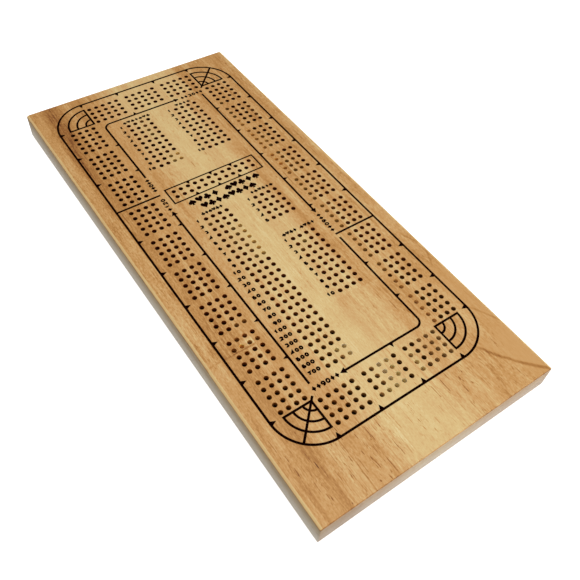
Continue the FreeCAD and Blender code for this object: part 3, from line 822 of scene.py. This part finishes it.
# numerals of a plain wide stroke font, in a unit box
DIGITS = {
    "0": [(arc(0.5, 0.5, 0.5, 90, 450, 28, 0.5)[:-1], True)],
    "1": [([(0.20, 0.76), (0.58, 1.0), (0.58, 0.0)], False)],
    "2": [(arc(0.5, 0.70, 0.5, 165, -28, 14, 0.30) + [(0.0, 0.0), (1.0, 0.0)], False)],
    "3": [(arc(0.48, 0.75, 0.45, 155, -88, 14, 0.25), False), (arc(0.48, 0.25, 0.52, 88, -155, 14, 0.25), False)],
    "4": [([(0.76, 0.0), (0.76, 1.0), (0.0, 0.28), (1.0, 0.28)], False)],
    "5": [([(0.94, 1.0), (0.12, 1.0), (0.06, 0.54)] + arc(0.46, 0.32, 0.54, 135, -152, 16, 0.32), False)],
    "6": [(arc(0.5, 0.31, 0.5, 90, 450, 24, 0.31)[:-1], True), (arc(0.52, 0.5, 0.52, 58, 200, 14, 0.5), False)],
    "7": [([(0.0, 1.0), (1.0, 1.0), (0.36, 0.0)], False)],
    "8": [(arc(0.5, 0.75, 0.42, 90, 450, 22, 0.25)[:-1], True), (arc(0.5, 0.26, 0.5, 90, 450, 22, 0.26)[:-1], True)],
    "9": [(arc(0.5, 0.69, 0.5, 90, 450, 24, 0.31)[:-1], True), (arc(0.48, 0.5, 0.52, 20, -122, 14, 0.5), False)],
}


def digit(ch, cx, cy, w=2.9, h=3.25, stroke=1.2, turn=0.0):
    polys = []
    bw, bh = w - stroke, h - stroke
    c, s = math.cos(turn), math.sin(turn)
    for pts, closed in DIGITS[ch]:
        line = [((a - 0.5) * bw, (b - 0.5) * bh) for a, b in pts]
        line = [(cx + a * c - b * s, cy + a * s + b * c) for a, b in line]
        polys += ribbon(line, stroke, closed)
    return polys


def scale(name, labels, x, ys, pitch=3.3):
    """Right-aligned numbers down a block: the last digit of each is centred on x."""
    glyphs = []
    for text, v in zip(labels, ys):
        glyphs += [digit(ch, x - k * pitch, v) for k, ch in enumerate(reversed(text))]
    return film(name, *glyphs)


ONES = [str(k) for k in range(1, 11)]
POINTS = [str(k) for k in range(1, 10)] + [str(k) for k in range(10, 100, 10)] + [str(k) for k in range(100, 800, 100)]
scale("print_scale_points", POINTS, -34.1, [26.2 - 6.18 * k for k in range(25)])
scale("print_scale_far_left", ONES, -34.1, [149.86 - 6.226 * k for k in range(10)])
scale("print_scale_far_right", ONES, 9.8, [149.7 - 6.226 * k for k in range(10)])
scale("print_scale_mid_right", ONES[:5], 9.8, [25.84 - 6.226 * k for k in range(5)])
scale("print_scale_near_right", ONES, 9.8, [-23.3 - 6.22 * k for k in range(10)])


# marks beside the arrows: the count at that corner between small diamonds
def mark(name, text, x0, y0, x1, y1, h=3.7):
    """text runs from (x0, y0) to (x1, y1); * is a diamond."""
    turn = math.atan2(y1 - y0, x1 - x0)
    glyphs = []
    for k, ch in enumerate(text):
        f = (k + 0.5) / len(text)
        cx, cy = x0 + (x1 - x0) * f, y0 + (y1 - y0) * f
        if ch == "*":
            glyphs.append(pip("diamond", cx, cy, h, turn))
        else:
            glyphs.append(digit(ch, cx, cy, h * 0.86, h, 1.15, turn))
    return film(name, *glyphs)


mark("print_mark_thirty", "**30**", 26.4, 160.2, 48.3, 160.2)
mark("print_mark_sixty", "**60**", 45.3, -13.2, 45.3, -34.2)
mark("print_mark_ninety", "**90**", -46.6, -132.3, -25.2, -132.3)
mark("print_mark_zero", "**0**", -45.2, 69.4, -45.2, 85.3)
mark("print_mark_last", "*120", -45.2, 46.0, -45.2, 60.7)


# ---------------------------------------------------------------------------
# stage
# ---------------------------------------------------------------------------
def floor():
    g = Graph("stage_floor")
    lp = g.node("ShaderNodeLightPath")
    geo = g.node("ShaderNodeNewGeometry")
    d = g.node("ShaderNodeBsdfDiffuse")
    d.inputs["Color"].default_value = (0.80, 0.80, 0.80, 1)
    e = g.node("ShaderNodeEmission")
    e.inputs["Color"].default_value = (1, 1, 1, 1)
    g.put(e.inputs["Strength"], g.mixf(lp.outputs["Is Camera Ray"], 0.15, 0.82))
    a = g.node("ShaderNodeAddShader")
    g.nt.links.new(d.outputs[0], a.inputs[0])
    g.nt.links.new(e.outputs[0], a.inputs[1])
    t = g.node("ShaderNodeBsdfTransparent")
    m = g.node("ShaderNodeMixShader")
    g.nt.links.new(geo.outputs["Backfacing"], m.inputs[0])
    g.nt.links.new(a.outputs[0], m.inputs[1])
    g.nt.links.new(t.outputs[0], m.inputs[2])
    g.nt.links.new(m.outputs[0], g.out.inputs["Surface"])
    mesh = bpy.data.meshes.new("stage_floor")
    k = 9.0
    mesh.from_pydata([(-k, -k, 0), (k, -k, 0), (k, k, 0), (-k, k, 0)], [], [(0, 1, 2, 3)])
    mesh.materials.append(g.mat)
    ob = bpy.data.objects.new("stage_floor", mesh)
    bpy.context.scene.collection.objects.link(ob)


floor()

world = bpy.data.worlds.new("studio")
bpy.context.scene.world = world
world.use_nodes = True
wn = world.node_tree
wn.nodes.clear()
w_out = wn.nodes.new("ShaderNodeOutputWorld")
w_bg = wn.nodes.new("ShaderNodeBackground")
w_lp = wn.nodes.new("ShaderNodeLightPath")
w_mix = wn.nodes.new("ShaderNodeMix")
w_mix.data_type = "FLOAT"
w_mix.inputs[2].default_value = 0.30
w_mix.inputs[3].default_value = 1.0
wn.links.new(w_lp.outputs["Is Camera Ray"], w_mix.inputs[0])
wn.links.new(w_mix.outputs[0], w_bg.inputs["Strength"])
w_bg.inputs["Color"].default_value = (1, 1, 1, 1)
wn.links.new(w_bg.outputs[0], w_out.inputs["Surface"])


def area_light(name, at, towards, size, power, colour=(1, 1, 1)):
    data = bpy.data.lights.new(name, "AREA")
    data.shape = "SQUARE"
    data.size = size
    data.energy = power
    data.color = colour
    ob = bpy.data.objects.new(name, data)
    bpy.context.scene.collection.objects.link(ob)
    ob.location = at
    ob.rotation_mode = "QUATERNION"
    ob.rotation_quaternion = (Vector(towards) - Vector(at)).to_track_quat("-Z", "Y")
    return ob


area_light("overhead", (-0.15, -0.20, 1.7), (0, 0, 0), 1.5, 17.6)
area_light("front_right", (0.75, -1.25, 0.75), (0, 0, 0), 0.9, 8.0)

cam_data = bpy.data.cameras.new("camera")
cam_data.lens = 41.764
cam_data.sensor_width = 36.0
cam_data.clip_start = 0.01
cam_data.clip_end = 60.0
cam = bpy.data.objects.new("camera", cam_data)
bpy.context.scene.collection.objects.link(cam)
right = Vector((0.818196, -0.572162, 0.056443)).normalized()
ahead = Vector((0.388076, 0.477168, -0.788484))
ahead = (ahead - right * ahead.dot(right)).normalized()
up = right.cross(ahead)
cam.matrix_world = Matrix((
    (right.x, up.x, -ahead.x, -0.191102),
    (right.y, up.y, -ahead.y, -0.280130),
    (right.z, up.z, -ahead.z, TOP + 0.361041),
    (0, 0, 0, 1)))
bpy.context.scene.camera = cam
bpy.context.scene.view_settings.view_transform = "Standard"
